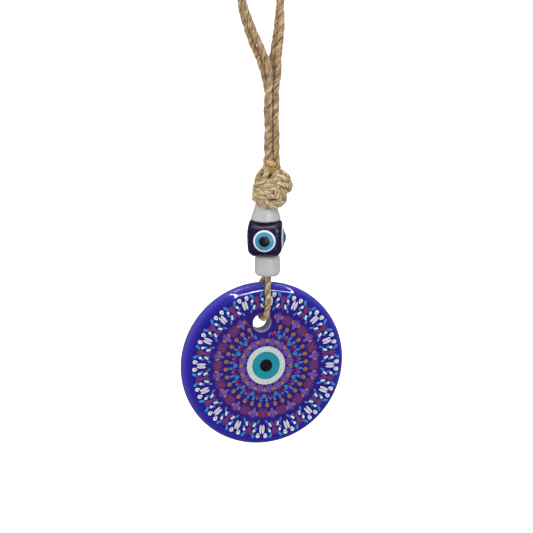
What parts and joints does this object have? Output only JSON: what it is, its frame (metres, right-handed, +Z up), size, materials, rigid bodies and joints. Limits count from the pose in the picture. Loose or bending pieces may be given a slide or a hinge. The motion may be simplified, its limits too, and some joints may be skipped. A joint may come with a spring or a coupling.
{
  "type": "evil eye hanging ornament",
  "caption": "Blue glass evil eye disc with a printed mandala face, hung from a doubled jute cord with a knot, a cube eye bead and white glass beads.",
  "frame": {"origin": "the seat of the hanging loop, at the inside of its round top, where a hook carries the ornament", "axes": "+Z up along the hanging cord, -Y out of the printed face of the disc, +X to the right as the face is seen"},
  "size_m": [0.07, 0.018, 0.1991],
  "materials": {
    "cobalt_glass": "glossy cobalt blue glass with a rounded, fire-polished rim",
    "printed_mandala": "glossy fired transfer on glass",
    "navy_glass": "glossy opaque navy lampwork glass",
    "white_glass": "satin opaque white glass",
    "eye_white_glass": "glossy opaque white glass",
    "eye_blue_glass": "glossy opaque sky blue glass",
    "eye_black_glass": "glossy opaque black glass",
    "jute": "twisted two-ply jute with loose fibres",
    "jute_light": "lighter jute where the strands lie over each other in the knot",
    "jute_golden": "golden jute of the top turn"
  },
  "bodies": {
    "cord": {"loop_strand_front": "jute", "loop_strand_back": "jute", "collar_wrap": "jute_golden", "knot": "jute_light", "core_strand_front": "jute", "core_strand_back": "jute"},
    "upper_bead": {"upper_bead": "white_glass"},
    "cube": {"cube_bead": "navy_glass", "eye_front_white": "eye_white_glass", "eye_front_blue": "eye_blue_glass", "eye_front_pupil": "eye_black_glass", "eye_right_white": "eye_white_glass", "eye_right_blue": "eye_blue_glass", "eye_right_pupil": "eye_black_glass", "eye_back_white": "eye_white_glass", "eye_back_blue": "eye_blue_glass", "eye_back_pupil": "eye_black_glass", "eye_left_white": "eye_white_glass", "eye_left_blue": "eye_blue_glass", "eye_left_pupil": "eye_black_glass"},
    "lower_bead": {"lower_bead": "white_glass"},
    "bight": {"cord_bight": "jute"},
    "disc": {"glass_disc": "cobalt_glass", "disc_print": "printed_mandala"}
  },
  "joints": [
    {"name": "upper_bead_spin", "type": "hinge", "parent": "cord", "child": "upper_bead", "pos_m": [0.002, 0, -0.0931], "axis": [0, 0, 1], "continuous": true},
    {"name": "cube_spin", "type": "hinge", "parent": "cord", "child": "cube", "pos_m": [0.0017, 0, -0.1075], "axis": [0, 0, 1], "continuous": true},
    {"name": "lower_bead_spin", "type": "hinge", "parent": "cord", "child": "lower_bead", "pos_m": [0.0027, 0, -0.1149], "axis": [0, 0, 1], "continuous": true},
    {"name": "disc_turn", "type": "hinge", "parent": "cord", "child": "bight", "pos_m": [0.0027, 0, -0.1236], "axis": [0, 0, 1], "range_deg": [-90, 90]},
    {"name": "disc_swing", "type": "hinge", "parent": "bight", "child": "disc", "pos_m": [0.0003, 0, -0.14184], "axis": [0, 1, 0], "range_deg": [-15, 15]}
  ]
}
